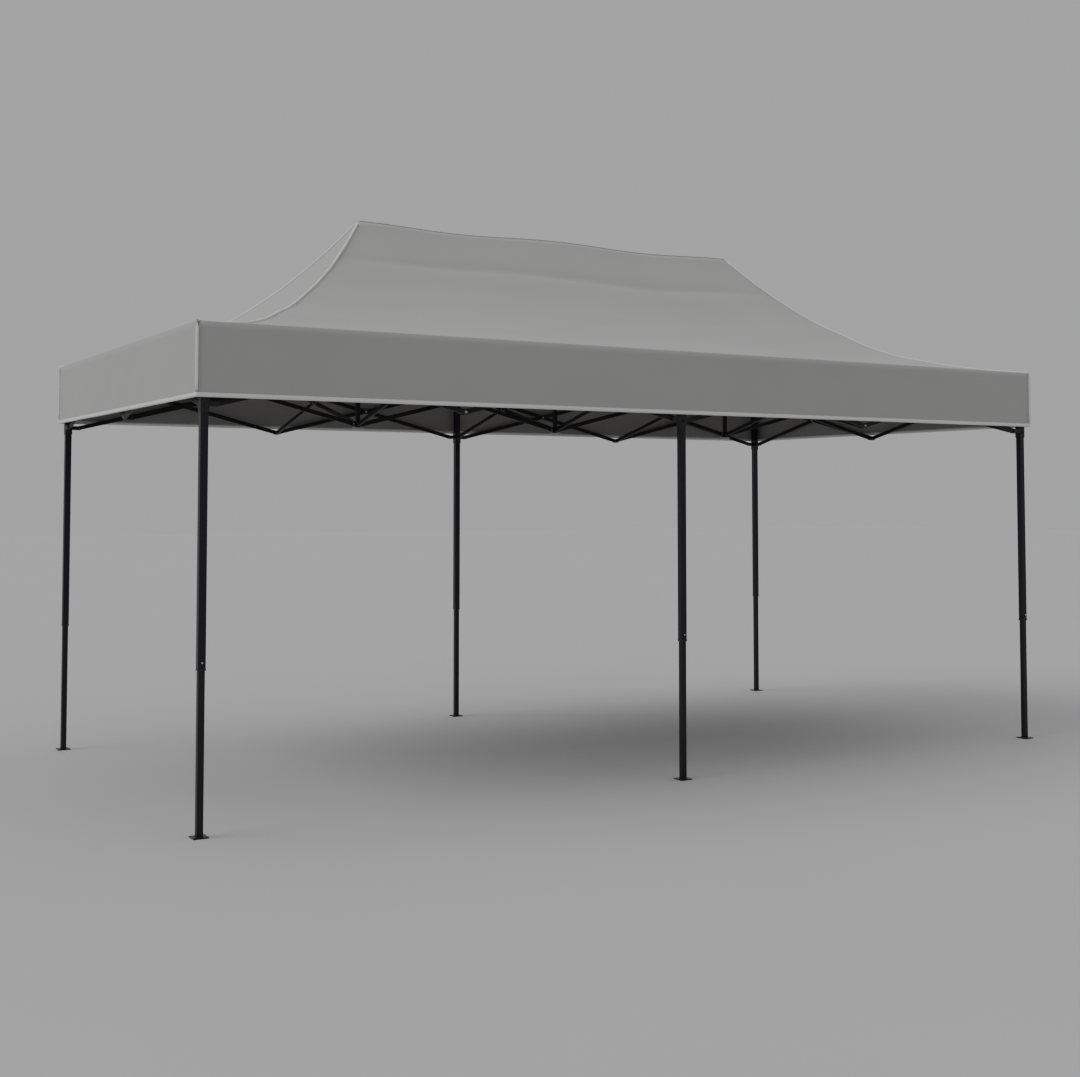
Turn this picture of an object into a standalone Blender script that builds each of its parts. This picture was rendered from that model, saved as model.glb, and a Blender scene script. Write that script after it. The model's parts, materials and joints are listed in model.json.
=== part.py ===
"""Folding six-leg gazebo: telescopic legs, a scissor truss, three ridge masts and a fabric canopy."""

import math

import bmesh
import bpy
from mathutils import Matrix, Vector

# Driving dimensions, in metres
LEG_X = 2.95  # corner legs' distance from the middle, along the long side
LEG_Y = 1.475  # all legs' distance from the long centre line
PITCH = 1.475  # distance between neighbouring truss joints, standing
TOP_PIVOT_Z = 2.50  # fixed pivots at the leg tops
TRUSS_HEIGHT = 0.35  # between a truss's top and bottom pivots

OUTER_SIDE = 0.040
OUTER_WALL = 0.0015
OUTER_BOTTOM_Z = 0.83
OUTER_TOP_Z = 2.522
INNER_SIDE = 0.034
INNER_WALL = 0.0015
INNER_TOP_Z = 1.20
FOOT_SIDE = 0.080
FOOT_THICK = 0.005
FOOT_HOLE_R = 0.0055
FOOT_HOLE_AT = 0.029
CAP_SIDE = 0.046
CAP_THICK = 0.018

BAR_DEPTH = 0.027
BAR_THICK = 0.0125
BAR_WALL = 0.0012
BAR_END = 0.0085  # from an end pivot to the tube's end
PLANE_OFFSET = 0.0075  # a bar's middle plane from its truss's middle plane
BOLT_HOLE_R = 0.0032

LEG_REACH = 0.070  # leg axis to pivot
MID_LEG_REACH = 0.037  # the same, on the middle legs' inward side
MAST_REACH = 0.035  # mast axis to pivot
CROSS_MAST_REACH = 0.033  # the same, on the centre mast towards the middle legs

FORK_THICK = 0.0025
FORK_GAP = 0.0004
FORK_HALF_HEIGHT = 0.013
FORK_HOLE_LENGTH = 0.056
MAST_SIDE = 0.025
MAST_WALL = 0.0015
MAST_TOP_Z = 3.424
HUB_SIDE = 0.0304
HUB_DROP = 0.022  # mast's end below its bottom pivots

EAVE_X = 3.0
EAVE_Y = 1.52
PEAK_X = 1.475
VALANCE_BOTTOM_Z = 2.18
EAVE_Z = 2.56
RIDGE_Z = 3.46
CLOTH_THICK = 0.0015
CORNER_ROUND = 0.003
SMALL_ROUND = 0.002
LEAST_ROUND = 0.0003
STEEL = (0.02, 0.02, 0.023)
CLOTH = (0.30, 0.30, 0.30)

SPAN = PITCH - LEG_REACH
BAR_LENGTH = math.hypot(SPAN, TRUSS_HEIGHT)
BAR_SLOPE = math.atan2(TRUSS_HEIGHT, SPAN)
BOTTOM_PIVOT_Z = TOP_PIVOT_Z - TRUSS_HEIGHT

for left_over in list(bpy.data.objects):
    bpy.data.objects.remove(left_over, do_unlink=True)
parts = bpy.data.collections.new("folding_gazebo")
cutters = bpy.data.collections.new("cutters")
bpy.context.scene.collection.children.link(parts)
bpy.context.scene.collection.children.link(cutters)


def new_object(name, mesh_maker, collection=parts):
    """An object in the collection, its mesh filled in by mesh_maker(bm)."""
    bm = bmesh.new()
    mesh_maker(bm)
    bmesh.ops.recalc_face_normals(bm, faces=bm.faces)
    mesh = bpy.data.meshes.new(name)
    bm.to_mesh(mesh)
    bm.free()
    obj = bpy.data.objects.new(name, mesh)
    collection.objects.link(obj)
    return obj


def paint(obj, colour, roughness, metallic):
    """Gives the object a material of its own."""
    material = bpy.data.materials.new(obj.name)
    material.use_nodes = True
    shader = material.node_tree.nodes["Principled BSDF"]
    shader.inputs["Base Color"].default_value = (*colour, 1.0)
    shader.inputs["Roughness"].default_value = roughness
    shader.inputs["Metallic"].default_value = metallic
    obj.data.materials.clear()
    obj.data.materials.append(material)


def add_box(bm, low, high):
    """A box between two corners."""
    low, high = Vector(low), Vector(high)
    middle, size = (low + high) / 2, high - low
    place = Matrix.Translation(middle) @ Matrix.Diagonal((*size, 1.0))
    bmesh.ops.create_cube(bm, size=1.0, matrix=place)


def rounded_rectangle(width, depth, radius):
    """Eight points of a rectangle with its corners cut at the radius."""
    w, d = width / 2, depth / 2
    corners = [(w, d), (-w, d), (-w, -d), (w, -d)]
    points = []
    for index, (x, y) in enumerate(corners):
        sx, sy = math.copysign(radius, x), math.copysign(radius, y)
        pair = [(x, y - sy), (x - sx, y)]
        points += pair if index % 2 == 0 else pair[::-1]
    return points


def add_tube(bm, width, depth, wall, low_z, high_z, radius=CORNER_ROUND):
    """An upright hollow tube, open at both ends."""
    outer = rounded_rectangle(width, depth, radius)
    inner = rounded_rectangle(width - 2 * wall, depth - 2 * wall, max(radius - wall, LEAST_ROUND))
    loops = [
        [bm.verts.new((x, y, z)) for x, y in profile]
        for profile, z in ((outer, low_z), (outer, high_z), (inner, high_z), (inner, low_z))
    ]
    count = len(outer)
    for loop, following in zip(loops, loops[1:] + loops[:1]):
        for k in range(count):
            n = (k + 1) % count
            bm.faces.new((loop[k], loop[n], following[n], following[k]))


def cut(obj, cutter_maker):
    """Takes the cutter's shape out of the object."""
    cutter = new_object(obj.name + "_cutter", cutter_maker, cutters)
    cutter.hide_render = True
    cutter.display_type = "WIRE"
    combine(obj, cutter, "DIFFERENCE")


def combine(obj, other, operation):
    """Applies one exact boolean and removes the other object."""
    modifier = obj.modifiers.new(operation, "BOOLEAN")
    modifier.operation = operation
    modifier.solver = "EXACT"
    modifier.object = other
    evaluated = obj.evaluated_get(bpy.context.evaluated_depsgraph_get())
    mesh = bpy.data.meshes.new_from_object(evaluated)
    obj.modifiers.clear()
    old = obj.data
    obj.data = mesh
    bpy.data.meshes.remove(old)
    bpy.data.objects.remove(other, do_unlink=True)


def join_on(obj, mesh_maker):
    """Adds a shape to the object as one body."""
    combine(obj, new_object(obj.name + "_more", mesh_maker, cutters), "UNION")


def add_pin(bm, middle, axis, radius, length):
    """A cylinder about the middle point, along the axis."""
    turn = Vector((0, 0, 1)).rotation_difference(Vector(axis)).to_matrix().to_4x4()
    bmesh.ops.create_cone(
        bm, cap_ends=True, segments=12, radius1=radius, radius2=radius,
        depth=length, matrix=Matrix.Translation(Vector(middle)) @ turn,
    )


def side_of(direction, rising):
    """+1 or -1: the plane that holds a bar leaving a joint in this direction.

    Bars that rise along the positive axis lie in one plane and bars that fall in the other,
    so two bars that meet at a joint never lie in the same plane.
    """
    forward = direction[0] + direction[1]
    return forward if rising else -forward


def add_fork_plates(bm, direction, start, reach, pivot_z, rising):
    """Two plates standing out to a pivot, one on each side of the bar that hangs there."""
    along, across = Vector((*direction, 0)), Vector((abs(direction[1]), abs(direction[0]), 0))
    plane = side_of(direction, rising) * PLANE_OFFSET
    for side in (-1, 1):
        near = plane + side * (BAR_THICK / 2 + FORK_GAP)
        far = near + side * FORK_THICK
        corners = [
            along * distance + across * offset + Vector((0, 0, pivot_z + height))
            for distance in (start, reach + FORK_HALF_HEIGHT)
            for offset in (near, far)
            for height in (-FORK_HALF_HEIGHT, FORK_HALF_HEIGHT)
        ]
        low = [min(c[k] for c in corners) for k in range(3)]
        high = [max(c[k] for c in corners) for k in range(3)]
        add_box(bm, low, high)


def add_fork_holes(bm, forks, pivot_z):
    """The bolt holes of a set of forks."""
    for direction, reach in forks:
        across = (abs(direction[1]), abs(direction[0]), 0)
        middle = (direction[0] * reach, direction[1] * reach, pivot_z)
        add_pin(bm, middle, across, BOLT_HOLE_R, FORK_HOLE_LENGTH)


def place(obj, x, y):
    """Moves the mesh to its spot on the plan, with the origin there too."""
    obj.location = (x, y, 0)


# Legs: name, place and the truss directions with their pivots' reach
RIGHT, LEFT, BACK, FRONT = (1, 0), (-1, 0), (0, 1), (0, -1)
LEGS = {
    "back_mid": ((0, LEG_Y), ((RIGHT, LEG_REACH), (LEFT, LEG_REACH), (FRONT, MID_LEG_REACH))),
    "front_mid": ((0, -LEG_Y), ((RIGHT, LEG_REACH), (LEFT, LEG_REACH), (BACK, MID_LEG_REACH))),
    "back_left": ((-LEG_X, LEG_Y), ((RIGHT, LEG_REACH), (FRONT, LEG_REACH))),
    "back_right": ((LEG_X, LEG_Y), ((LEFT, LEG_REACH), (FRONT, LEG_REACH))),
    "front_left": ((-LEG_X, -LEG_Y), ((RIGHT, LEG_REACH), (BACK, LEG_REACH))),
    "front_right": ((LEG_X, -LEG_Y), ((LEFT, LEG_REACH), (BACK, LEG_REACH))),
}

# Outer legs: square steel tubes with the fixed truss bracket and its cap at the top
for name, (spot, forks) in LEGS.items():
    leg = new_object(
        "outer_leg_" + name,
        lambda bm: add_tube(bm, OUTER_SIDE, OUTER_SIDE, OUTER_WALL, OUTER_BOTTOM_Z, OUTER_TOP_Z),
    )

    def bracket(bm):
        half = CAP_SIDE / 2
        add_box(bm, (-half, -half, OUTER_TOP_Z - CAP_THICK / 4), (half, half, OUTER_TOP_Z + CAP_THICK))

    join_on(leg, bracket)
    for direction, reach in forks:
        join_on(
            leg,
            lambda bm: add_fork_plates(
                bm, direction, OUTER_SIDE / 2 - OUTER_WALL / 2, reach, TOP_PIVOT_Z, False
            ),
        )
    cut(leg, lambda bm: add_fork_holes(bm, forks, TOP_PIVOT_Z))
    place(leg, *spot)
    paint(leg, STEEL, 0.45, 0.0)

# Inner legs: thinner tubes that slide up into the outer legs, each with a drilled foot plate
for name, (spot, forks) in LEGS.items():
    leg = new_object(
        "inner_leg_" + name,
        lambda bm: add_tube(bm, INNER_SIDE, INNER_SIDE, INNER_WALL, FOOT_THICK / 2, INNER_TOP_Z),
    )

    def foot_plate(bm):
        half = FOOT_SIDE / 2
        add_box(bm, (-half, -half, 0), (half, half, FOOT_THICK))

    def foot_holes(bm):
        for sx in (-1, 1):
            for sy in (-1, 1):
                spot_in_plate = (sx * FOOT_HOLE_AT, sy * FOOT_HOLE_AT, 0)
                add_pin(bm, spot_in_plate, (0, 0, 1), FOOT_HOLE_R, 6 * FOOT_THICK)

    join_on(leg, foot_plate)
    cut(leg, foot_holes)
    place(leg, *spot)
    paint(leg, STEEL, 0.45, 0.0)

# Masts: ridge poles, each with the hub at its foot that holds four trusses
MASTS = {
    "left": (-PITCH, MAST_REACH),
    "centre": (0, CROSS_MAST_REACH),
    "right": (PITCH, MAST_REACH),
}
for name, (x, reach_y) in MASTS.items():
    mast = new_object(
        "mast_" + name,
        lambda bm: add_tube(
            bm, MAST_SIDE, MAST_SIDE, MAST_WALL, BOTTOM_PIVOT_Z - HUB_DROP, MAST_TOP_Z, SMALL_ROUND
        ),
    )

    def hub(bm):
        half = HUB_SIDE / 2
        low_z, high_z = BOTTOM_PIVOT_Z - FORK_HALF_HEIGHT, BOTTOM_PIVOT_Z + FORK_HALF_HEIGHT
        add_box(bm, (-half, -half, low_z), (half, half, high_z))

    join_on(mast, hub)
    hub_forks = ((RIGHT, MAST_REACH), (LEFT, MAST_REACH), (BACK, reach_y), (FRONT, reach_y))
    for direction, reach in hub_forks:
        join_on(
            mast,
            lambda bm: add_fork_plates(
                bm, direction, MAST_SIDE / 2 - MAST_WALL / 2, reach, BOTTOM_PIVOT_Z, True
            ),
        )
    cut(mast, lambda bm: add_fork_holes(bm, hub_forks, BOTTOM_PIVOT_Z))
    place(mast, x, 0)
    paint(mast, STEEL, 0.45, 0.0)

# Truss bars: one tube, drilled at both ends and in the middle, copied to every place
template = new_object(
    "bar_template",
    lambda bm: add_tube(
        bm, BAR_THICK, BAR_DEPTH, BAR_WALL, -BAR_LENGTH / 2 - BAR_END,
        BAR_LENGTH / 2 + BAR_END, SMALL_ROUND,
    ),
    cutters,
)


def bar_holes(bm):
    for z in (-BAR_LENGTH / 2, 0, BAR_LENGTH / 2):
        add_pin(bm, (0, 0, z), (1, 0, 0), BOLT_HOLE_R, 3 * BAR_THICK)


cut(template, bar_holes)

# Scissors: name, near pivot on the plan and the direction the bars run from it
mid_y, near_y = LEG_Y - MID_LEG_REACH, LEG_Y - LEG_REACH
SCISSORS = {
    "cross_back": ((0, mid_y), FRONT),
    "cross_front": ((0, -CROSS_MAST_REACH), FRONT),
}
for side, direction, sx in (("left", LEFT, -1), ("right", RIGHT, 1)):
    SCISSORS["spine_" + side + "_inner"] = ((sx * MAST_REACH, 0), direction)
    SCISSORS["spine_" + side + "_outer"] = ((sx * (PITCH + MAST_REACH), 0), direction)
    for end, away, towards, sy in (("back", BACK, FRONT, 1), ("front", FRONT, BACK, -1)):
        SCISSORS[end + "_" + side + "_inner"] = ((sx * LEG_REACH, sy * LEG_Y), direction)
        SCISSORS[end + "_" + side + "_outer"] = ((sx * PITCH, sy * LEG_Y), direction)
        SCISSORS["bay_" + side + "_" + end] = ((sx * PITCH, sy * MAST_REACH), away)
        SCISSORS["end_" + side + "_" + end] = ((sx * LEG_X, sy * near_y), towards)

for name, (pivot, direction) in SCISSORS.items():
    for slope, rising in (("rise", True), ("fall", False)):
        bar = new_object("bar_" + name + "_" + slope, lambda bm: bm.from_mesh(template.data))
        lift = BAR_SLOPE if rising else -BAR_SLOPE
        along = Vector((*direction, 0)) * math.cos(lift) + Vector((0, 0, math.sin(lift)))
        across = Vector((abs(direction[1]), abs(direction[0]), 0))
        plane = side_of(direction, rising) * PLANE_OFFSET
        turn = Matrix((across, along.cross(across), along)).transposed().to_4x4()
        middle = Vector((*pivot, 0)) + Vector((*direction, 0)) * SPAN / 2
        middle += across * plane + Vector((0, 0, TOP_PIVOT_Z - TRUSS_HEIGHT / 2))
        bar.matrix_world = Matrix.Translation(middle) @ turn
        paint(bar, STEEL, 0.5, 0.0)
bpy.data.objects.remove(template, do_unlink=True)

# Canopy: one fabric shell, a hipped roof that hangs in a curve between ridge and eaves, and a valance
ROOF_ROWS = 12
LONG_STEPS = 16
SHORT_STEPS = 8
CLOTH_SAG = 2.4
EAVE_LIFT = 0.12


def roof_height(rise):
    """Height of the roof where rise goes from 0 at the eaves to 1 at the ridge."""
    share = EAVE_LIFT * rise + (1 - EAVE_LIFT) * rise**CLOTH_SAG
    return EAVE_Z + (RIDGE_Z - EAVE_Z) * share


def ring_points(half_x, half_y):
    """Points around a rectangle on the plan."""
    steps = [(k / LONG_STEPS * 2 - 1, -1) for k in range(LONG_STEPS)]
    steps += [(1, k / SHORT_STEPS * 2 - 1) for k in range(SHORT_STEPS)]
    steps += [(1 - k / LONG_STEPS * 2, 1) for k in range(LONG_STEPS)]
    steps += [(-1, 1 - k / SHORT_STEPS * 2) for k in range(SHORT_STEPS)]
    return [(half_x * x, half_y * y) for x, y in steps]


def canopy_surface(bm):
    """The cloth's outer face, ring by ring from the valance's hem to the ridge."""
    rings = [(EAVE_X, EAVE_Y, VALANCE_BOTTOM_Z)]
    for row in range(ROOF_ROWS + 1):
        rise = row / ROOF_ROWS
        half_x = EAVE_X - (EAVE_X - PEAK_X) * rise
        rings.append((half_x, EAVE_Y * (1 - rise), roof_height(rise)))
    loops = [
        [bm.verts.new((x, y, z)) for x, y in ring_points(half_x, half_y)]
        for half_x, half_y, z in rings
    ]
    count = len(loops[0])
    for low, high in zip(loops, loops[1:]):
        for k in range(count):
            n = (k + 1) % count
            bm.faces.new((low[k], low[n], high[n], high[k]))
    bmesh.ops.remove_doubles(bm, verts=bm.verts, dist=0.0001)
    bmesh.ops.dissolve_degenerate(bm, edges=bm.edges, dist=0.0001)
    bmesh.ops.triangulate(bm, faces=[f for f in bm.faces if len(f.verts) > 3])


canopy = new_object("canopy", canopy_surface)
thickness = canopy.modifiers.new("thickness", "SOLIDIFY")
thickness.thickness = CLOTH_THICK
thickness.offset = -1
paint(canopy, CLOTH, 0.85, 0.0)

bpy.data.collections.remove(cutters)
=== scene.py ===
import math

import bmesh
import bpy
from mathutils import Matrix, Vector, noise
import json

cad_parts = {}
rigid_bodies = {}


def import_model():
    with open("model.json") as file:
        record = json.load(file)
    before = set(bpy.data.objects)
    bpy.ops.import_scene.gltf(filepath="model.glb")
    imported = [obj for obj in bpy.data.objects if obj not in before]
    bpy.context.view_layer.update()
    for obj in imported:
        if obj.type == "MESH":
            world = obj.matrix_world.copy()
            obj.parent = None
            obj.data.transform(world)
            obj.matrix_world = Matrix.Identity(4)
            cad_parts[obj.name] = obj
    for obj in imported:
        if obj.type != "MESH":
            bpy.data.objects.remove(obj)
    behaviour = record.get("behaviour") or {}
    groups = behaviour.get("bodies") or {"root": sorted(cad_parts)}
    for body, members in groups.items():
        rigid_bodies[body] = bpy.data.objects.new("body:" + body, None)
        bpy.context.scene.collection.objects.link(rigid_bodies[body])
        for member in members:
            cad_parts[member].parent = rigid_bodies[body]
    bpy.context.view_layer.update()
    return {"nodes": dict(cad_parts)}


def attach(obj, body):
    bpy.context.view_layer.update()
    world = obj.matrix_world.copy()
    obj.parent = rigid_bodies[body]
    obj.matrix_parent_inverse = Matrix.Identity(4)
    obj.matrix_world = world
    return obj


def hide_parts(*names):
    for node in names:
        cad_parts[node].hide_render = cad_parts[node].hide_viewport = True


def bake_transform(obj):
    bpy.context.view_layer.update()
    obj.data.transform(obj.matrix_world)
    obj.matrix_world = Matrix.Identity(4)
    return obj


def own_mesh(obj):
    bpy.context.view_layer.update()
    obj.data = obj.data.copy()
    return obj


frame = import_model()

# --- Powder-coated steel: legs and masts ---
# Six square outer legs, six inner legs that slide in them and three ridge masts, all steel tube.
# Each has one black powder coat, with a faint orange-peel texture, uneven gloss and a little dust. On the
# outer legs the black and the dust are tinted blue-violet as a painted sheen.
LEG_X, LEG_Y, PITCH = 2.95, 1.475, 1.475
SPOTS = {
    "back_mid": (0, LEG_Y), "front_mid": (0, -LEG_Y), "back_left": (-LEG_X, LEG_Y),
    "back_right": (LEG_X, LEG_Y), "front_left": (-LEG_X, -LEG_Y), "front_right": (LEG_X, -LEG_Y),
}
MASTS = {"left": -PITCH, "centre": 0.0, "right": PITCH}


class Sock:
    """A shader output with operators, so that a formula reads as one."""

    def __init__(self, tree, out):
        self.tree, self.out = tree, out

    def maths(self, kind, other, swap=False):
        pair = (other, self) if swap else (self, other)
        return node(self.tree, "ShaderNodeMath", {"operation": kind}, dict(enumerate(pair)))

    def __add__(self, other):
        return self.maths("ADD", other)

    def __radd__(self, other):
        return self.maths("ADD", other, True)

    def __mul__(self, other):
        return self.maths("MULTIPLY", other)

    def __rmul__(self, other):
        return self.maths("MULTIPLY", other, True)

    def clamp(self):
        return node(self.tree, "ShaderNodeClamp", {}, {"Value": self})


def node(tree, kind, settings, inputs, output=0):
    """Any node: its settings, then its inputs as values or as other nodes' outputs."""
    made = tree.nodes.new(kind)
    for key, value in settings.items():
        setattr(made, key, value)
    for key, value in inputs.items():
        if isinstance(value, Sock):
            tree.links.new(value.out, made.inputs[key])
        else:
            made.inputs[key].default_value = value
    return Sock(tree, made.outputs[output])


def material(name, metallic=0.0, coat=0.0):
    """A material and what is needed to fill it in: its tree, its shader node and its position input."""
    made = bpy.data.materials.new(name)
    made.use_nodes = True
    tree = made.node_tree
    shader = tree.nodes["Principled BSDF"]
    shader.inputs["Metallic"].default_value = metallic
    shader.inputs["Coat Weight"].default_value = coat
    shader.inputs["Specular IOR Level"].default_value = 0.35
    place = node(tree, "ShaderNodeTexCoord", {}, {}, "Object")
    return made, tree, shader, place


def speckle(tree, place, scale, detail=3.0):
    """Soft random mottling, from 0 to 1."""
    return node(tree, "ShaderNodeTexNoise", {}, {"Vector": place, "Scale": scale, "Detail": detail})


def mix(tree, share, first, second):
    """A colour between two colours."""
    made = tree.nodes.new("ShaderNodeMix")
    made.data_type = "RGBA"
    for key, value in ((0, share), (6, first), (7, second)):
        if isinstance(value, Sock):
            tree.links.new(value.out, made.inputs[key])
        else:
            made.inputs[key].default_value = value
    return Sock(tree, made.outputs[2])


def finish_with(tree, shader, colour, roughness, height=None, strength=0.1, distance=0.001):
    """Links the varied colour, roughness and bump to the shader."""
    tree.links.new(colour.out, shader.inputs["Base Color"])
    tree.links.new(roughness.out, shader.inputs["Roughness"])
    if height is not None:
        bump = node(
            tree, "ShaderNodeBump", {}, {"Height": height, "Strength": strength, "Distance": distance}
        )
        tree.links.new(bump.out, shader.inputs["Normal"])


def powder_coat(name, base, dust_and_sheen, gloss):
    """Black coat with dust in soft clouds and a fine orange-peel grain. Where its colours are tinted
    blue-violet, the tint is painted sheen.
    """
    made, tree, shader, place = material(name, coat=0.05)
    shader.inputs["Specular IOR Level"].default_value = 0.3
    cloudy = speckle(tree, place, 5.0)
    grain = speckle(tree, place, 900.0, 1.0)
    colour = mix(tree, cloudy * 0.6, (*base, 1), (*dust_and_sheen, 1))
    finish_with(tree, shader, colour, gloss + cloudy * 0.12 + grain * 0.05, grain, 0.25, 0.0002)
    return made


# Outer legs: the black and the dust clouds are tinted blue-violet, a painted sheen over the real dust.
coat_outer = powder_coat("powder_coat_legs", (0.006, 0.0055, 0.010), (0.014, 0.012, 0.022), 0.28)
coat_inner = powder_coat("powder_coat_inner_legs", (0.007, 0.007, 0.009), (0.016, 0.016, 0.020), 0.30)
coat_bars = powder_coat("powder_coat_truss", (0.006, 0.006, 0.007), (0.014, 0.014, 0.015), 0.38)


def coat(name, finish):
    """Repaints one of the frame's own pieces."""
    painted = frame["nodes"][name].data.materials
    painted.clear()
    painted.append(finish)


for where in SPOTS:
    coat("outer_leg_" + where, coat_outer)
    coat("inner_leg_" + where, coat_inner)
for where in MASTS:
    coat("mast_" + where, coat_bars)

# --- Truss bars ---
# Forty-four black steel bars, bolted in pairs as scissors. A scissor starts at a near pivot and runs
# in one direction. Each bar's middle and turn are kept for the bolts and plugs that ride on it.
TOP_Z, TRUSS_H = 2.50, 0.35
BOTTOM_Z = TOP_Z - TRUSS_H
LEG_REACH, MID_REACH, MAST_REACH, CROSS_REACH = 0.070, 0.037, 0.035, 0.033
SPAN = PITCH - LEG_REACH
BAR_SLOPE = math.atan2(TRUSS_H, SPAN)
PLANE = 0.0075  # a bar's middle plane from its truss's middle plane
UP = Vector((0, 0, 1))
RIGHT, LEFT, BACK, FRONT = (1, 0), (-1, 0), (0, 1), (0, -1)
SCISSORS = {"cross_back": ((0, LEG_Y - MID_REACH), FRONT), "cross_front": ((0, -CROSS_REACH), FRONT)}
for side, direction, sx in (("left", LEFT, -1), ("right", RIGHT, 1)):
    SCISSORS["spine_" + side + "_inner"] = ((sx * MAST_REACH, 0), direction)
    SCISSORS["spine_" + side + "_outer"] = ((sx * (PITCH + MAST_REACH), 0), direction)
    for end, away, towards, sy in (("back", BACK, FRONT, 1), ("front", FRONT, BACK, -1)):
        SCISSORS[end + "_" + side + "_inner"] = ((sx * LEG_REACH, sy * LEG_Y), direction)
        SCISSORS[end + "_" + side + "_outer"] = ((sx * PITCH, sy * LEG_Y), direction)
        SCISSORS["bay_" + side + "_" + end] = ((sx * PITCH, sy * MAST_REACH), away)
        SCISSORS["end_" + side + "_" + end] = ((sx * LEG_X, sy * (LEG_Y - LEG_REACH)), towards)


def plan_axes(direction):
    """Unit vectors along a plan direction and across it."""
    return Vector((*direction, 0)), Vector((abs(direction[1]), abs(direction[0]), 0))


def bar_plane(direction, rising):
    """How far to the side the bars lie that rise, or fall, in this direction."""
    forward = direction[0] + direction[1]
    return PLANE * (forward if rising else -forward)


BARS = {}
for name, (pivot, direction) in SCISSORS.items():
    outwards, across = plan_axes(direction)
    for slope, rising in (("rise", True), ("fall", False)):
        lift = BAR_SLOPE if rising else -BAR_SLOPE
        along = outwards * math.cos(lift) + UP * math.sin(lift)
        plane = bar_plane(direction, rising)
        middle = Vector((*pivot, 0)) + outwards * SPAN / 2
        middle += across * plane + UP * (TOP_Z - TRUSS_H / 2)
        bar_name = "bar_" + name + "_" + slope
        BARS[bar_name] = (middle, along, across, math.copysign(1, plane))
        coat(bar_name, coat_bars)

# --- Canopy cloth ---
# Light grey woven polyester, cut as one hipped roof with a valance, and darker underneath.
# It is pulled over the three masts, so each slope hangs in a curve, with soft wrinkles and a crease.
EAVE_X, EAVE_Y = 3.0, 1.52
VALANCE_Z, EAVE_Z, RIDGE_Z = 2.18, 2.56, 3.46
SAG_POWER, EAVE_LIFT = 2.4, 0.12
ROOF_ROWS, VALANCE_ROWS = 84, 12
LONG_STEPS, SHORT_STEPS = 150, 76
CREASE_AT, CREASE_WIDTH, CREASE_DEPTH = 0.845, 0.028, 0.022
CREASE_WANDER, CREASE_END_X = 0.015, PITCH + 0.40
RIDGE_DIP = 0.020  # between two masts
BILLOW, WRINKLE = 0.018, 0.006
VALANCE_WAVE, VALANCE_RIPPLE, VALANCE_INSET = 0.009, 0.004, 0.001
CLOTH_THICK = 0.0012
MERGE = 0.0002


def mesh_object(name, fill, finish, smooth=True):
    """A new object whose mesh is filled in by fill(bm)."""
    bm = bmesh.new()
    fill(bm)
    bmesh.ops.recalc_face_normals(bm, faces=bm.faces)
    mesh = bpy.data.meshes.new(name)
    bm.to_mesh(mesh)
    bm.free()
    mesh.materials.append(finish)
    mesh.polygons.foreach_set("use_smooth", [smooth] * len(mesh.polygons))
    made = bpy.data.objects.new(name, mesh)
    bpy.context.scene.collection.objects.link(made)
    return made


def roof_share(rise):
    """Height of the roof as a share of the ridge's, for rise from 0 at the eaves to 1 at the ridge."""
    return EAVE_LIFT * rise + (1 - EAVE_LIFT) * rise**SAG_POWER


def cloth_point(x_share, y_share, rise, facing):
    """A point of the roof, from its place round a ring and the ring's rise."""
    half_x = EAVE_X - (EAVE_X - PITCH) * rise
    x, y = half_x * x_share, EAVE_Y * (1 - rise) * y_share
    z = EAVE_Z + (RIDGE_Z - EAVE_Z) * roof_share(rise)
    between = math.sin(math.pi * min(abs(x), PITCH) / PITCH) ** 2
    z -= between * rise**3 * RIDGE_DIP
    loose = math.sin(math.pi * rise) if rise < 1 else 0.0
    z += loose * BILLOW * noise.noise(Vector((x * 1.3, y * 1.3, 3.1)))
    z += loose * WRINKLE * noise.noise(Vector((x * 1.1, y * 7.0, 9.4)))
    if facing == "long":
        wander = CREASE_WANDER * noise.noise(Vector((x * 0.9, math.copysign(2.0, y_share), 0.0)))
        fold = math.exp(-abs(rise - CREASE_AT - wander) / CREASE_WIDTH)
        z -= fold * CREASE_DEPTH * max(0.0, 1 - (x / CREASE_END_X) ** 4)
    return Vector((x, y, z))


def ring():
    """Shares of the half sizes all round a rectangle, and which side each belongs to."""
    points = [(k / LONG_STEPS * 2 - 1, -1, "long") for k in range(LONG_STEPS)]
    points += [(1, k / SHORT_STEPS * 2 - 1, "short") for k in range(SHORT_STEPS)]
    points += [(1 - k / LONG_STEPS * 2, 1, "long") for k in range(LONG_STEPS)]
    points += [(-1, 1 - k / SHORT_STEPS * 2, "short") for k in range(SHORT_STEPS)]
    return points


def valance_point(x_share, y_share, drop):
    """A point of the valance, drop going from 0 at the eaves to 1 at the hem."""
    x, y = EAVE_X * x_share, EAVE_Y * y_share
    corner = (abs(x_share) * abs(y_share)) ** 6
    wave = VALANCE_WAVE * drop * (1 - corner) * noise.noise(Vector((x * 1.6, y * 1.6, drop * 0.8)))
    ripple = VALANCE_RIPPLE * (1 - corner) * math.sin(math.pi * drop)
    wave += ripple * noise.noise(Vector((x * 5, y * 5, drop * 2)))
    outward = Vector((0, y_share, 0)) if abs(y_share) == 1 else Vector((x_share, 0, 0))
    z = EAVE_Z - (EAVE_Z - VALANCE_Z) * drop
    return Vector((x, y, z)) + outward * (wave - VALANCE_INSET)


def skin(bm, low, high):
    """Faces between two closed loops of as many points."""
    for k in range(len(low)):
        n = (k + 1) % len(low)
        bm.faces.new((low[k], low[n], high[n], high[k]))


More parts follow.
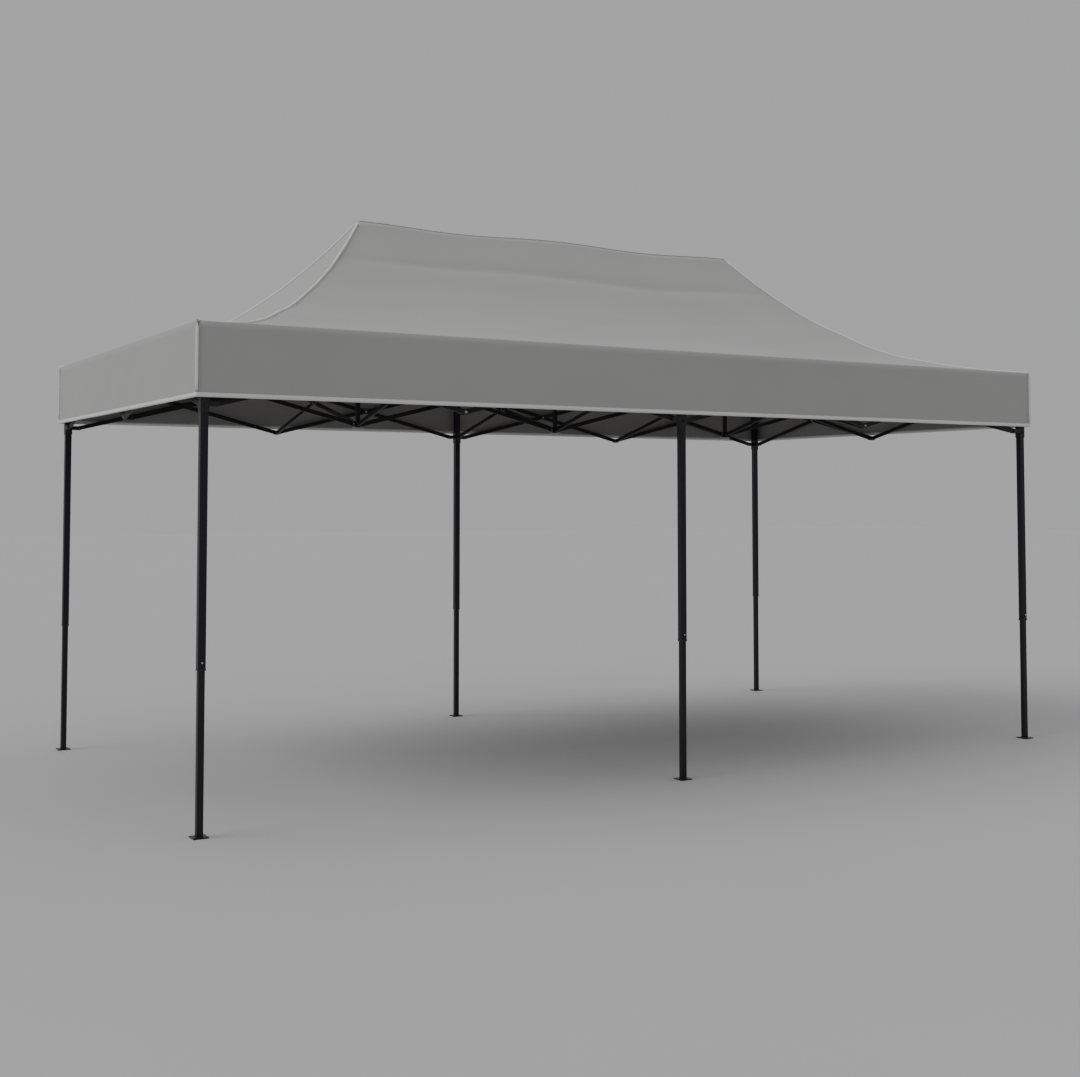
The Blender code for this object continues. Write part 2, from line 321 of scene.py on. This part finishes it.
def cloth(bm):
    """The outer face, row by row: the valance from hem to eaves, then the roof up to the ridge."""
    sides = ring()
    rows = [
        [valance_point(a, b, 1 - row / VALANCE_ROWS) for a, b, facing in sides]
        for row in range(VALANCE_ROWS)
    ]
    rows += [
        [cloth_point(a, b, row / ROOF_ROWS, facing) for a, b, facing in sides]
        for row in range(ROOF_ROWS + 1)
    ]
    loops = [[bm.verts.new(p) for p in row] for row in rows]
    for low, high in zip(loops, loops[1:]):
        skin(bm, low, high)
    bmesh.ops.remove_doubles(bm, verts=bm.verts, dist=MERGE)
    bmesh.ops.dissolve_degenerate(bm, edges=bm.edges, dist=MERGE)


def apply_modifiers(obj):
    """Makes the object's modifiers part of its mesh."""
    bpy.context.view_layer.update()
    shaped = obj.evaluated_get(bpy.context.evaluated_depsgraph_get())
    mesh = bpy.data.meshes.new_from_object(shaped)
    obj.modifiers.clear()
    obj.data = mesh
    return obj


def woven(name, base, other, rough):
    """Plain-woven cloth: fine threads along all three axes, with a little mottling."""
    made, tree, shader, place = material(name)
    cloudy = speckle(tree, place, 1.4)
    threads = [
        node(tree, "ShaderNodeTexWave", {"bands_direction": axis}, {"Vector": place, "Scale": 260.0})
        for axis in ("X", "Y", "Z")
    ]
    weave = (threads[0] + threads[1] + threads[2]) * 0.33
    blotch = speckle(tree, place, 14.0)
    colour = mix(tree, (cloudy * 0.6 + blotch * 0.2 + weave * 0.1).clamp(), (*base, 1), (*other, 1))
    soft = blotch * 0.5 + weave * 0.15
    finish_with(tree, shader, colour, rough + weave * 0.08, soft, 0.18, 0.002)
    shader.inputs["Sheen Weight"].default_value = 0.15
    return made


cloth_top = woven("polyester_top", (0.385, 0.385, 0.380), (0.43, 0.43, 0.423), 0.72)
cloth_under = woven("polyester_underside", (0.235, 0.225, 0.214), (0.285, 0.273, 0.260), 0.72)
canopy = mesh_object("canopy_cloth", cloth, cloth_top)
canopy.data.materials.append(cloth_under)
thick = canopy.modifiers.new("thickness", "SOLIDIFY")
thick.thickness = CLOTH_THICK
thick.offset = -1
thick.material_offset = 1
apply_modifiers(canopy)
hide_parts("canopy")

# --- How cloth and connectors follow the folding frame ---
# The cloth, its trims and the upper connectors are pulled along by the legs and masts around them,
# which only shift as the frame folds. One hook for each gives a point its share of that shift.
LIES_ON_FRAME = 0.80  # the folded cloth rests on the bars, above the lowered masts
BASE = "leg_back_mid"
MOVERS = ["mast_" + k for k in MASTS] + ["leg_" + k for k in SPOTS if "leg_" + k != BASE]


def shares_at(x, y, roof):
    """How much of each body's shift a point takes. The rest is the back middle leg's, which stays."""
    reach = min(abs(x), PITCH)
    shares = {"mast_centre": roof * (1 - reach / PITCH)}
    shares["mast_left" if x < 0 else "mast_right"] = roof * reach / PITCH
    rest = max(1 - roof, 1e-6)
    out = min(max((abs(x) - roof * reach) / (rest * LEG_X), 0.0), 1.0)
    front = min(max((LEG_Y - y) / (2 * LEG_Y), 0.0), 1.0)
    side = "left" if x < 0 else "right"
    shares["leg_back_" + side] = rest * out * (1 - front)
    shares["leg_front_" + side] = rest * out * front
    shares["leg_front_mid"] = rest * (1 - out) * front
    return shares


def follow_frame(obj, shares_of):
    """Hooks the object, in its final place, to the moving bodies by each point's shares."""
    points = [shares_of(v.co) for v in obj.data.vertices]
    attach(obj, BASE)
    for body in MOVERS:
        weights = [shares.get(body, 0.0) for shares in points]
        if max(weights) < 1e-4:
            continue
        group = obj.vertex_groups.new(name=body)
        for k, weight in enumerate(weights):
            if weight > 1e-5:
                group.add([k], weight, "REPLACE")
        hook = obj.modifiers.new(body, "HOOK")
        hook.object = bpy.data.objects["body:" + body]
        hook.vertex_group = body
        hook.falloff_type = "NONE"
        hook.matrix_inverse = hook.object.matrix_world.inverted() @ obj.matrix_world


def cloth_shares(co):
    """Shares of a point of the cloth: the higher on the roof, the more it takes from the masts."""
    roof = min(max((co.z - EAVE_Z) / (RIDGE_Z - EAVE_Z), 0.0), 1.0)
    return shares_at(co.x, co.y, roof * LIES_ON_FRAME)


follow_frame(canopy, cloth_shares)

# --- Hem tape, piping and stitching ---
# White woven tape is folded over the hem, and white cord piping runs up the corners and the hips.
# Both are sewn on, with a row of stitches along the tape and one beside each length of piping.
TAPE_HEIGHT, TAPE_OUT, TAPE_IN, TAPE_UNDER = 0.022, 0.0012, 0.0026, 0.001
PIPING_R, PIPING_OUT = 0.0075, 0.0015
SEAM_R, SEAM_LIFT, SEAM_STEPS = 0.0022, 0.0002, 40
HEM_ROW_DOWN, STITCH_PROUD = 0.003, 0.0003
HIP_ROW_ASIDE, HIP_ROW_OUT = 0.013, Vector((0, 0.0022, 0.0012))


def facing_out(a, b):
    """Away from the cloth at a place on the ring, on both axes at a corner."""
    return Vector((a if abs(a) == 1 else 0, b if abs(b) == 1 else 0, 0))


def tape(bm):
    """A strip folded under the hem: out, down and in again, all round."""
    sides = ring()
    profile = (
        (TAPE_OUT, TAPE_HEIGHT), (TAPE_OUT, -TAPE_UNDER), (-TAPE_IN, -TAPE_UNDER), (-TAPE_IN, TAPE_HEIGHT),
    )
    loops = []
    for out, up in profile:
        loop = []
        for a, b, facing in sides:
            drop = 1 - max(up, 0) / (EAVE_Z - VALANCE_Z)
            point = valance_point(a, b, drop)
            point.z = VALANCE_Z + up
            loop.append(bm.verts.new(point + facing_out(a, b) * out))
        loops.append(loop)
    for k, low in enumerate(loops):
        skin(bm, low, loops[(k + 1) % len(loops)])


white_tape = woven("white_tape", (0.74, 0.74, 0.73), (0.80, 0.80, 0.79), 0.66)
hem = mesh_object("hem_tape", tape, white_tape)
follow_frame(hem, cloth_shares)


def sweep(bm, path, radius, sides=10):
    """A round cord along a path, closed at both ends."""
    loops = []
    for k, point in enumerate(path):
        ahead, behind = path[min(k + 1, len(path) - 1)], path[max(k - 1, 0)]
        along = (ahead - behind).normalized()
        first = along.cross(UP if abs(along.z) < 0.9 else Vector((1, 0, 0))).normalized()
        second = along.cross(first)
        turns = [2 * math.pi * i / sides for i in range(sides)]
        round_points = [point + radius * (first * math.cos(t) + second * math.sin(t)) for t in turns]
        loops.append([bm.verts.new(p) for p in round_points])
    for low, high in zip(loops, loops[1:]):
        skin(bm, low, high)
    bm.faces.new(loops[0])
    bm.faces.new(loops[-1])


def hip_path(sx, sy, aside=0.0):
    """From the hem up a corner and along its hip to the peak, set aside on the long face."""
    path = [valance_point(sx, sy, 1 - k / VALANCE_ROWS) for k in range(1, VALANCE_ROWS)]
    path += [cloth_point(sx, sy, k / ROOF_ROWS, "short") for k in range(ROOF_ROWS)]
    return [p - Vector((sx * aside, 0, 0)) + Vector((0, 0, 0.001)) for p in path]


for where in ("front_left", "front_right", "back_left", "back_right"):
    sx, sy = (math.copysign(1, value) for value in SPOTS[where])
    out = Vector((sx, sy, 0)) * PIPING_OUT
    piping = mesh_object(
        "piping_" + where,
        lambda bm: sweep(bm, [p + out for p in hip_path(sx, sy)], PIPING_R),
        white_tape,
    )
    follow_frame(piping, cloth_shares)

ridge = [cloth_point(k / SEAM_STEPS * 2 - 1, 0, 1.0, "long") for k in range(SEAM_STEPS + 1)]
ridge_seam = mesh_object(
    "ridge_seam", lambda bm: sweep(bm, [p + UP * SEAM_LIFT for p in ridge], SEAM_R, 8), cloth_top
)
follow_frame(ridge_seam, cloth_shares)


def new_tree(name, sockets):
    """A geometry tree with named inputs."""
    tree = bpy.data.node_groups.new(name, "GeometryNodeTree")
    tree.interface.new_socket("Geometry", in_out="INPUT", socket_type="NodeSocketGeometry")
    for label, kind in sockets:
        tree.interface.new_socket(label, in_out="INPUT", socket_type=kind)
    tree.interface.new_socket("Geometry", in_out="OUTPUT", socket_type="NodeSocketGeometry")
    return tree, tree.nodes.new("NodeGroupInput"), tree.nodes.new("NodeGroupOutput")


def stitch_tree():
    """Stitches spaced along every path of edges, each a little longer or shorter."""
    tree, given, result = new_tree("stitches", (
        ("Spacing", "NodeSocketFloat"), ("Length", "NodeSocketFloat"), ("Width", "NodeSocketFloat"),
        ("Seed", "NodeSocketInt"), ("Material", "NodeSocketMaterial"),
    ))
    link, new = tree.links.new, tree.nodes.new
    curve, resample = new("GeometryNodeMeshToCurve"), new("GeometryNodeResampleCurve")
    resample.mode = "LENGTH"
    tangent, align = new("GeometryNodeInputTangent"), new("FunctionNodeAlignRotationToVector")
    size, stitch = new("ShaderNodeCombineXYZ"), new("GeometryNodeMeshCube")
    jitter = new("FunctionNodeRandomValue")
    jitter.inputs[2].default_value = 0.85
    jitter.inputs[3].default_value = 1.1
    instances, realize = new("GeometryNodeInstanceOnPoints"), new("GeometryNodeRealizeInstances")
    painted = new("GeometryNodeSetMaterial")
    align.axis = "X"
    link(given.outputs["Geometry"], curve.inputs["Mesh"])
    link(curve.outputs["Curve"], resample.inputs["Curve"])
    link(given.outputs["Spacing"], resample.inputs["Length"])
    link(tangent.outputs["Tangent"], align.inputs["Vector"])
    for key, label in (("X", "Length"), ("Y", "Width"), ("Z", "Width")):
        link(given.outputs[label], size.inputs[key])
    link(size.outputs["Vector"], stitch.inputs["Size"])
    link(given.outputs["Seed"], jitter.inputs["Seed"])
    link(resample.outputs["Curve"], instances.inputs["Points"])
    link(stitch.outputs["Mesh"], instances.inputs["Instance"])
    link(align.outputs["Rotation"], instances.inputs["Rotation"])
    link(jitter.outputs[1], instances.inputs["Scale"])
    link(instances.outputs["Instances"], realize.inputs["Geometry"])
    link(realize.outputs["Geometry"], painted.inputs["Geometry"])
    link(given.outputs["Material"], painted.inputs["Material"])
    link(painted.outputs["Geometry"], result.inputs["Geometry"])
    return tree


def grown(name, fill, tree, values):
    """A plain mesh made by a geometry tree from the points or paths that fill(bm) lays out."""
    made = mesh_object(name, fill, values["Material"], False)
    modifier = made.modifiers.new("grown", "NODES")
    modifier.node_group = tree
    for item in tree.interface.items_tree:
        if item.in_out == "INPUT" and item.name in values:
            modifier[item.identifier] = values[item.name]
    return apply_modifiers(made)


def lay_path(bm, path, closed=False):
    """A path of bare edges, for stitches to be laid along."""
    verts = [bm.verts.new(p) for p in path]
    for a, b in zip(verts, verts[1:]):
        bm.edges.new((a, b))
    if closed:
        bm.edges.new((verts[-1], verts[0]))


def plain(name, base, other, rough, scale=60.0, metallic=0.0):
    """A simple finish with faint mottling, for thread, plastic and metal fittings."""
    made, tree, shader, place = material(name, metallic)
    cloudy = speckle(tree, place, scale)
    colour = mix(tree, cloudy, (*base, 1), (*other, 1))
    finish_with(tree, shader, colour, rough + cloudy * 0.12, cloudy, 0.08, 0.0005)
    return made


thread = plain("white_thread", (0.70, 0.70, 0.69), (0.82, 0.82, 0.80), 0.6)
stitches = stitch_tree()


def hem_path():
    """All round the tape, just under its upper edge."""
    drop = 1 - (TAPE_HEIGHT - HEM_ROW_DOWN) / (EAVE_Z - VALANCE_Z)
    return [
        valance_point(a, b, drop) + facing_out(a, b).normalized() * (TAPE_OUT + STITCH_PROUD)
        for a, b, facing in ring()
    ]


SEWN = {"Spacing": 0.0075, "Length": 0.0052, "Width": 0.0007, "Seed": 4, "Material": thread}
hem_stitches = grown("hem_stitches", lambda bm: lay_path(bm, hem_path(), True), stitches, SEWN)
follow_frame(hem_stitches, cloth_shares)


def seam_paths(bm):
    """One row beside each length of piping, on the long face."""
    for sx in (-1, 1):
        for sy in (-1, 1):
            raised = HIP_ROW_OUT * Vector((1, sy, 1))
            lay_path(bm, [p + raised for p in hip_path(sx, sy, HIP_ROW_ASIDE)])


hip_stitches = grown("hip_stitches", seam_paths, stitches, SEWN)
follow_frame(hip_stitches, cloth_shares)

# --- Bolts and end plugs on the truss bars ---
# Each bar is held by a zinc-plated bolt at each end and one in the middle, with a washer and a
# hexagon head outside. Black moulded plugs close the tube's ends. All ride on their bar.
BAR_LENGTH = math.hypot(SPAN, TRUSS_H)
BAR_THICK, BAR_DEPTH, BAR_END = 0.0125, 0.027, 0.0085
BOLT_SPOTS = (-BAR_LENGTH / 2, 0.0, BAR_LENGTH / 2)
BOLT_R, BOLT_HEAD, BOLT_PROUD, WASHER = 0.0052, 0.0030, 0.0008, 0.0009
PLUG_THICK, PLUG_GAP = 0.0016, 0.0009
zinc = plain("zinc_plate", (0.42, 0.42, 0.40), (0.58, 0.57, 0.54), 0.32, 90.0, 1.0)
plastic = plain("black_nylon", (0.010, 0.010, 0.011), (0.020, 0.020, 0.021), 0.42, 40.0)


def bolt_tree():
    """A round washer and a hexagon head at every point, facing along the given direction."""
    tree, given, result = new_tree("bolts", (
        ("Radius", "NodeSocketFloat"), ("Height", "NodeSocketFloat"), ("Facing", "NodeSocketVector"),
        ("Seed", "NodeSocketInt"), ("Material", "NodeSocketMaterial"),
    ))
    link, new = tree.links.new, tree.nodes.new
    washer, head = new("GeometryNodeMeshCylinder"), new("GeometryNodeMeshCylinder")
    washer.inputs["Vertices"].default_value = 20
    washer.inputs["Depth"].default_value = WASHER
    head.inputs["Vertices"].default_value = 6
    wider = new("ShaderNodeMath")
    wider.operation = "MULTIPLY"
    wider.inputs[1].default_value = 1.45
    lifted, joined = new("GeometryNodeTransform"), new("GeometryNodeJoinGeometry")
    lift, turn = new("ShaderNodeCombineXYZ"), new("FunctionNodeRandomValue")
    turn.inputs[3].default_value = 1.0
    spin, around = new("ShaderNodeCombineXYZ"), new("FunctionNodeAlignRotationToVector")
    around.axis = "Z"
    instances, realize = new("GeometryNodeInstanceOnPoints"), new("GeometryNodeRealizeInstances")
    turned, painted = new("GeometryNodeRotateInstances"), new("GeometryNodeSetMaterial")
    link(given.outputs["Radius"], head.inputs["Radius"])
    link(given.outputs["Radius"], wider.inputs[0])
    link(wider.outputs[0], washer.inputs["Radius"])
    link(given.outputs["Height"], head.inputs["Depth"])
    link(given.outputs["Height"], lift.inputs["Z"])
    link(head.outputs["Mesh"], lifted.inputs["Geometry"])
    link(lift.outputs["Vector"], lifted.inputs["Translation"])
    link(washer.outputs["Mesh"], joined.inputs["Geometry"])
    link(lifted.outputs["Geometry"], joined.inputs["Geometry"])
    link(given.outputs["Facing"], around.inputs["Vector"])
    link(given.outputs["Geometry"], instances.inputs["Points"])
    link(joined.outputs["Geometry"], instances.inputs["Instance"])
    link(around.outputs["Rotation"], instances.inputs["Rotation"])
    link(given.outputs["Seed"], turn.inputs["Seed"])
    link(turn.outputs[1], spin.inputs["Z"])
    link(instances.outputs["Instances"], turned.inputs["Instances"])
    link(spin.outputs["Vector"], turned.inputs["Rotation"])
    link(turned.outputs["Instances"], realize.inputs["Geometry"])
    link(realize.outputs["Geometry"], painted.inputs["Geometry"])
    link(given.outputs["Material"], painted.inputs["Material"])
    link(painted.outputs["Geometry"], result.inputs["Geometry"])
    return tree


def add_box(bm, middle, size, along, across):
    """A box about its middle: its size along, across and square to both."""
    turn = Matrix((along, across, along.cross(across))).transposed().to_4x4()
    place = Matrix.Translation(middle) @ turn @ Matrix.Diagonal((*size, 1.0))
    bmesh.ops.create_cube(bm, size=1.0, matrix=place)


bolts = bolt_tree()
for seed, (bar_name, (middle, along, across, side)) in enumerate(BARS.items()):
    outward = across * side
    heads = [middle + along * spot + outward * (BAR_THICK / 2 + BOLT_PROUD) for spot in BOLT_SPOTS]
    fixings = grown(
        bar_name.replace("bar", "bolts"),
        lambda bm: [bm.verts.new(p) for p in heads],
        bolts,
        {"Radius": BOLT_R, "Height": BOLT_HEAD, "Facing": tuple(outward), "Seed": seed, "Material": zinc},
    )
    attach(fixings, bar_name)

    def plug_pair(bm):
        for end in (-1, 1):
            at = middle + along * end * (BAR_LENGTH / 2 + BAR_END + PLUG_GAP)
            add_box(bm, at, (BAR_THICK, BAR_DEPTH - 0.001, PLUG_THICK), across, along.cross(across))

    plugs = mesh_object(bar_name.replace("bar", "plugs"), plug_pair, plastic, False)
    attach(plugs, bar_name)

# --- Leg sliders and top collars ---
# Moulded nylon collars. The slider runs on the outer leg and carries the lower truss pivots between
# its ears, and a round button releases its lock. The top collar is fixed below the leg's steel forks.
LEG_FORKS = {
    "back_mid": ((RIGHT, LEG_REACH), (LEFT, LEG_REACH), (FRONT, MID_REACH)),
    "front_mid": ((RIGHT, LEG_REACH), (LEFT, LEG_REACH), (BACK, MID_REACH)),
    "back_left": ((RIGHT, LEG_REACH), (FRONT, LEG_REACH)),
    "back_right": ((LEFT, LEG_REACH), (FRONT, LEG_REACH)),
    "front_left": ((RIGHT, LEG_REACH), (BACK, LEG_REACH)),
    "front_right": ((LEFT, LEG_REACH), (BACK, LEG_REACH)),
}
OUTER_SIDE = 0.040
SLIDER_WALL, SLIDER_GAP = 0.0020, 0.0003
SLIDER_BELOW, SLIDER_ABOVE = 0.045, 0.034
BUTTON_R, BUTTON_LONG, BUTTON_DOWN = 0.0075, 0.010, 0.012
COLLAR_WALL, COLLAR_LOW, COLLAR_HIGH = 0.0030, 0.075, 0.020
EAR_THICK, EAR_TALL, EAR_PAST = 0.0030, 0.026, 0.012
EAR_GAP = 0.0033  # leaves room for the bolt heads
EAR_ROOT = 0.0008  # from the tube's face to where the ears start, inside the slider's wall
SOFT_EDGE = 0.0008


def add_sleeve(bm, x, y, inner, wall, low, high):
    """A square collar round a tube, open through its middle."""
    outer = inner / 2 + wall
    corners = ((1, 1), (-1, 1), (-1, -1), (1, -1))
    loops = [
        [bm.verts.new((x + half * a, y + half * b, z)) for a, b in corners]
        for half, z in ((outer, low), (outer, high), (inner / 2, high), (inner / 2, low))
    ]
    for k, loop in enumerate(loops):
        skin(bm, loop, loops[(k + 1) % len(loops)])


def add_ears(bm, x, y, direction, start, reach, z, rising):
    """Two ears, one on each side of the bar that hangs between them."""
    along, across = plan_axes(direction)
    plane = bar_plane(direction, rising)
    length = reach + EAR_PAST - start
    for side in (-1, 1):
        off = plane + side * (BAR_THICK / 2 + EAR_GAP + EAR_THICK / 2)
        if side * plane > 0:
            off += side * BOLT_HEAD
        middle = Vector((x, y, z)) + along * (start + length / 2) + across * off
        add_box(bm, middle, (length, EAR_THICK, EAR_TALL), along, across)


def moulding(name, fill, finish=plastic, edge=SOFT_EDGE):
    """A moulded piece with softened edges."""
    made = mesh_object(name, fill, finish, False)
    bevel = made.modifiers.new("soft edges", "BEVEL")
    bevel.width = edge
    bevel.segments = 2
    bevel.limit_method = "ANGLE"
    return apply_modifiers(made)


def run_on_leg(obj, where):
    """Takes a piece with its leg, on a mesh of its own."""
    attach(obj, "leg_" + where)
    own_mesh(obj)


for where, (x, y) in SPOTS.items():
    def slider_shape(bm):
        low, high = BOTTOM_Z - SLIDER_BELOW, BOTTOM_Z + SLIDER_ABOVE
        add_sleeve(bm, x, y, OUTER_SIDE + 2 * SLIDER_GAP, SLIDER_WALL, low, high)
        for direction, reach in LEG_FORKS[where]:
            add_ears(bm, x, y, direction, OUTER_SIDE / 2 + EAR_ROOT, reach, BOTTOM_Z, True)

    def release(bm):
        """A round button on the slider's outer face."""
        outward = math.copysign(OUTER_SIDE / 2 + SLIDER_GAP + SLIDER_WALL + BUTTON_LONG / 2, y)
        place = Matrix.Translation((x, y + outward, BOTTOM_Z - BUTTON_DOWN))
        bmesh.ops.create_cone(
            bm, cap_ends=True, segments=24, radius1=BUTTON_R, radius2=BUTTON_R, depth=BUTTON_LONG,
            matrix=place @ Matrix.Rotation(math.pi / 2, 4, "X"),
        )

    def top_collar(bm):
        low, high = TOP_Z - COLLAR_LOW, TOP_Z - COLLAR_HIGH
        add_sleeve(bm, x, y, OUTER_SIDE + 2 * SLIDER_GAP, COLLAR_WALL, low, high)

    run_on_leg(moulding("slider_" + where, slider_shape), where)
    run_on_leg(moulding("slider_button_" + where, release, plastic, 0.001), where)
    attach(moulding("top_collar_" + where, top_collar), "leg_" + where)

# --- Leg adjusters ---
# A nylon collar guides the inner leg at the foot of each outer leg. A chrome spring button there
# holds the inner leg at its height. The steel foot plate is welded on all round.
INNER_SIDE, OUTER_BOTTOM_Z = 0.034, 0.83
GUIDE_WALL, GUIDE_TALL = 0.0029, 0.0102
SPRING_R, SPRING_OUT, SPRING_UP = 0.0048, 0.0034, 0.028
WELD_R, WELD_Z, WELD_GAP, WELD_STEPS = 0.0017, 0.0058, 0.0004, 64
FINE_EDGE = 0.0006
chrome = plain("spring_button", (0.60, 0.60, 0.60), (0.70, 0.70, 0.70), 0.18, 80.0, 1.0)
weld = plain("weld_bead", (0.010, 0.010, 0.011), (0.018, 0.018, 0.019), 0.45, 220.0)
for where, (x, y) in SPOTS.items():
    def guide(bm):
        high = OUTER_BOTTOM_Z - SLIDER_GAP
        add_sleeve(bm, x, y, INNER_SIDE + 2 * SLIDER_GAP, GUIDE_WALL, high - GUIDE_TALL, high)

    def spring_button(bm):
        outward = math.copysign(OUTER_SIDE / 2 + SPRING_OUT, y)
        place = Matrix.Translation((x, y + outward, OUTER_BOTTOM_Z + SPRING_UP))
        bmesh.ops.create_uvsphere(bm, u_segments=24, v_segments=12, radius=SPRING_R, matrix=place)

    def bead(bm):
        """A weld round the square tube, on the foot plate."""
        path = []
        half = INNER_SIDE / 2 + WELD_GAP
        for k in range(WELD_STEPS + 1):
            turn = 2 * math.pi * (k % WELD_STEPS) / WELD_STEPS
            c, s = math.cos(turn), math.sin(turn)
            scale = half / max(abs(c), abs(s))
            path.append(Vector((x + c * scale, y + s * scale, WELD_Z)))
        sweep(bm, path, WELD_R, 8)

    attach(moulding("leg_guide_" + where, guide, plastic, FINE_EDGE), "leg_" + where)
    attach(mesh_object("leg_button_" + where, spring_button, chrome), "leg_" + where)
    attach(mesh_object("foot_weld_" + where, bead, weld), "foot_" + where)

# --- Mast hubs, tips and shoes ---
# A nylon hub slides on each mast and holds the upper pivots of four scissors. A tapered tip under the
# cloth and a pale shoe below close the mast's tube.
MAST_SIDE, MAST_TOP_Z, MAST_FOOT_DROP = 0.025, 3.424, 0.022
HUB_WALL, HUB_GAP, HUB_EAR_ROOT = 0.0022, 0.0004, 0.0020
HUB_BELOW, HUB_ABOVE = 0.022, 0.016
TIP_WIDE, TIP_NARROW, TIP_TALL = 0.013, 0.005, 0.012
SHOE_LONG, SHOE_WIDE, SHOE_TALL, SHOE_EDGE = 0.070, 0.022, 0.014, 0.0020
pale_plastic = plain("pale_nylon", (0.42, 0.42, 0.41), (0.50, 0.50, 0.49), 0.45, 150.0)
for where, x in MASTS.items():
    reach_y = CROSS_REACH if where == "centre" else MAST_REACH

    def sliding_hub(bm):
        low, high = TOP_Z - HUB_BELOW, TOP_Z + HUB_ABOVE
        add_sleeve(bm, x, 0, MAST_SIDE + 2 * HUB_GAP, HUB_WALL, low, high)
        for direction in (RIGHT, LEFT, BACK, FRONT):
            reach = reach_y if direction[1] else MAST_REACH
            add_ears(bm, x, 0, direction, MAST_SIDE / 2 + HUB_EAR_ROOT, reach, TOP_Z, False)

    def tip(bm):
        place = Matrix.Translation((x, 0, MAST_TOP_Z + SLIDER_GAP + TIP_TALL / 2))
        bmesh.ops.create_cone(
            bm, cap_ends=True, segments=24, radius1=TIP_WIDE, radius2=TIP_NARROW, depth=TIP_TALL, matrix=place
        )

    def shoe(bm):
        at = Vector((x, 0, BOTTOM_Z - MAST_FOOT_DROP - SLIDER_GAP - SHOE_TALL / 2))
        add_box(bm, at, (SHOE_LONG, SHOE_WIDE, SHOE_TALL), *plan_axes(RIGHT))

    hub = moulding("top_hub_" + where, sliding_hub, plastic, FINE_EDGE)
    follow_frame(hub, lambda co: shares_at(x, 0, 0))
    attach(mesh_object("mast_tip_" + where, tip, plastic, False), "mast_" + where)
    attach(moulding("mast_shoe_" + where, shoe, pale_plastic, SHOE_EDGE), "mast_" + where)

# --- Truss joint blocks ---
# Nylon blocks join the bars where trusses meet at the eaves, above and below. The upper ones and the
# lower ones at the ends shift with the frame. The lower ones on the long sides stay where they are built.
BLOCK_IN, BLOCK_WIDE, BLOCK_EAR_ROOT = 0.0165, 0.034, 0.0170


def block_shape(bm, x, y, z, inward, rising):
    """A spine plate behind the pair of bars, with ears for the truss that meets them square on."""
    along, across = plan_axes(inward)
    add_box(bm, Vector((x, y, z)) + along * BLOCK_IN, (EAR_THICK, BLOCK_WIDE, EAR_TALL), along, across)
    add_ears(bm, x, y, inward, BLOCK_EAR_ROOT, MAST_REACH, z, rising)


JOINTS = [(sx * PITCH, sy * LEG_Y, (0, -sy)) for sx in (-1, 1) for sy in (-1, 1)]
JOINTS += [(sx * LEG_X, 0, (-sx, 0)) for sx in (-1, 1)]
for number, (x, y, inward) in enumerate(JOINTS):
    upper, lower = (
        moulding(label % number, lambda bm: block_shape(bm, x, y, z, inward, rising), plastic, FINE_EDGE)
        for label, z, rising in (("upper_block_%d", TOP_Z, False), ("lower_block_%d", BOTTOM_Z, True))
    )
    follow_frame(upper, lambda co: shares_at(x, y, 0))
    side = "left" if x < 0 else "right"
    if y:
        bar = "bar_" + ("back_" if y > 0 else "front_") + side
        bar + "_inner_fall"
        bar + "_outer_rise"
        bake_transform(lower)
    else:
        follow_frame(lower, lambda co: {"leg_back_" + side: 1, "mast_centre": 1})

# --- Floor, light and camera ---
# A pale studio floor and a soft, even light from above and the left, and the camera at eye height.
FLOOR_HALF, FLOOR_DOWN = 60.0, 0.001
floor_finish = plain("studio_floor", (0.49, 0.49, 0.49), (0.51, 0.51, 0.51), 0.7, 0.6)


def floor_shape(bm):
    bmesh.ops.create_grid(bm, x_segments=1, y_segments=1, size=FLOOR_HALF)


floor = mesh_object("floor", floor_shape, floor_finish)
floor.location.z = -FLOOR_DOWN
world = bpy.context.scene.world or bpy.data.worlds.new("studio")
bpy.context.scene.world = world
world.use_nodes = True
sky = world.node_tree.nodes["Background"]
sky.inputs["Color"].default_value = (0.80, 0.80, 0.805, 1.0)
sky.inputs["Strength"].default_value = 0.546


def lamp(name, softness, power, at):
    """A wide sun lamp aimed at the middle of the floor."""
    light = bpy.data.lights.new(name, "SUN")
    light.angle = softness
    light.energy = power
    made = bpy.data.objects.new(name, light)
    bpy.context.scene.collection.objects.link(made)
    made.location = at
    made.rotation_euler = (-Vector(at)).to_track_quat("-Z", "Y").to_euler()


lamp("key", 0.7, 1.24, (-7.0, 1.5, 7.0))
lamp("top", 1.2, 0.50, (1.0, 0.5, 10.0))

CAMERA_AT = Vector((-5.203, -8.596, 1.672))
TURN_RIGHT, LOOK_UP = 0.534, 0.048
camera_data = bpy.data.cameras.new("camera")
camera_data.lens = 48.50
camera_data.shift_y = -0.1015
camera_data.sensor_width = 36.0
camera = bpy.data.objects.new("camera", camera_data)
bpy.context.scene.collection.objects.link(camera)
camera.location = CAMERA_AT
level = Vector((math.sin(TURN_RIGHT), math.cos(TURN_RIGHT), 0))
gaze = level * math.cos(LOOK_UP) + UP * math.sin(LOOK_UP)
camera.rotation_euler = gaze.to_track_quat("-Z", "Y").to_euler()
bpy.context.scene.camera = camera
